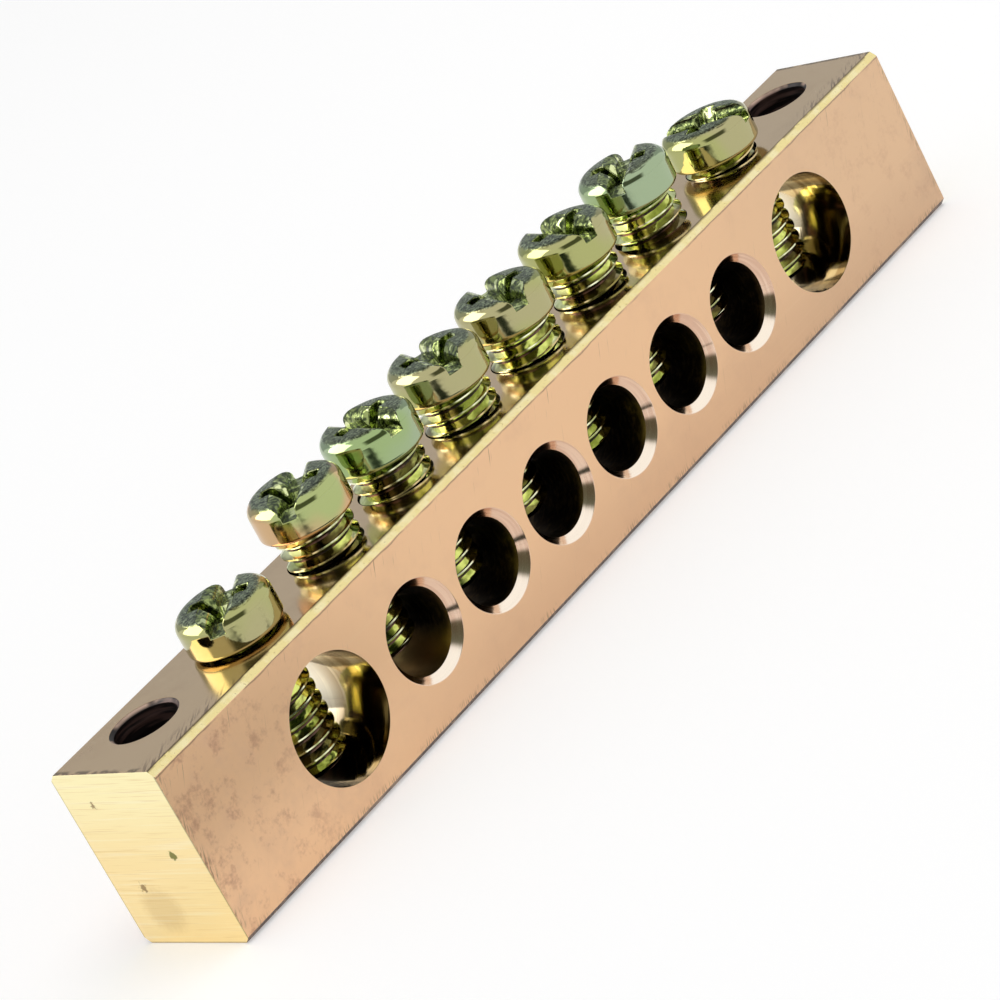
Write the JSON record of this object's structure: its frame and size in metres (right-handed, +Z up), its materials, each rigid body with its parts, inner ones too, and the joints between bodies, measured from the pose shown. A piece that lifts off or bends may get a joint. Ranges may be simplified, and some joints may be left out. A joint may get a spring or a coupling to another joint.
{
  "type": "earth terminal bar",
  "caption": "Drawn brass bar with wire holes across it, slotted clamp screws in its top over each hole, and a plain fixing hole near each end.",
  "frame": {"origin": "middle of the bar's flat underside", "axes": "+X along the bar, -Y out of the wire face, +Z up towards the screw heads"},
  "size_m": [0.08, 0.009, 0.0171],
  "materials": {
    "bar_brass": "satin drawn brass with a thin tan tarnish",
    "screw_plating": "glossy yellow passivated zinc plating"
  },
  "bodies": {
    "bar": {"terminal_bar": "bar_brass"},
    "screw_1": {"clamp_screw_1": "screw_plating"},
    "screw_2": {"clamp_screw_2": "screw_plating"},
    "screw_3": {"clamp_screw_3": "screw_plating"},
    "screw_4": {"clamp_screw_4": "screw_plating"},
    "screw_5": {"clamp_screw_5": "screw_plating"},
    "screw_6": {"clamp_screw_6": "screw_plating"},
    "screw_7": {"clamp_screw_7": "screw_plating"},
    "screw_8": {"clamp_screw_8": "screw_plating"}
  },
  "joints": [
    {"name": "screw_1_travel", "type": "slide", "parent": "bar", "child": "screw_1", "axis": [0, 0, 1], "range_m": [-0.00005, 0.00715]},
    {"name": "screw_2_travel", "type": "slide", "parent": "bar", "child": "screw_2", "axis": [0, 0, 1], "range_m": [-0.0003, 0.0038]},
    {"name": "screw_3_travel", "type": "slide", "parent": "bar", "child": "screw_3", "axis": [0, 0, 1], "range_m": [-0.00015, 0.00395]},
    {"name": "screw_4_travel", "type": "slide", "parent": "bar", "child": "screw_4", "axis": [0, 0, 1], "range_m": [-0.0003, 0.0038]},
    {"name": "screw_5_travel", "type": "slide", "parent": "bar", "child": "screw_5", "axis": [0, 0, 1], "range_m": [-0.00025, 0.00385]},
    {"name": "screw_6_travel", "type": "slide", "parent": "bar", "child": "screw_6", "axis": [0, 0, 1], "range_m": [-0.00035, 0.00375]},
    {"name": "screw_7_travel", "type": "slide", "parent": "bar", "child": "screw_7", "axis": [0, 0, 1], "range_m": [-0.00055, 0.00355]},
    {"name": "screw_8_travel", "type": "slide", "parent": "bar", "child": "screw_8", "axis": [0, 0, 1], "range_m": [-0.00055, 0.00665]}
  ]
}
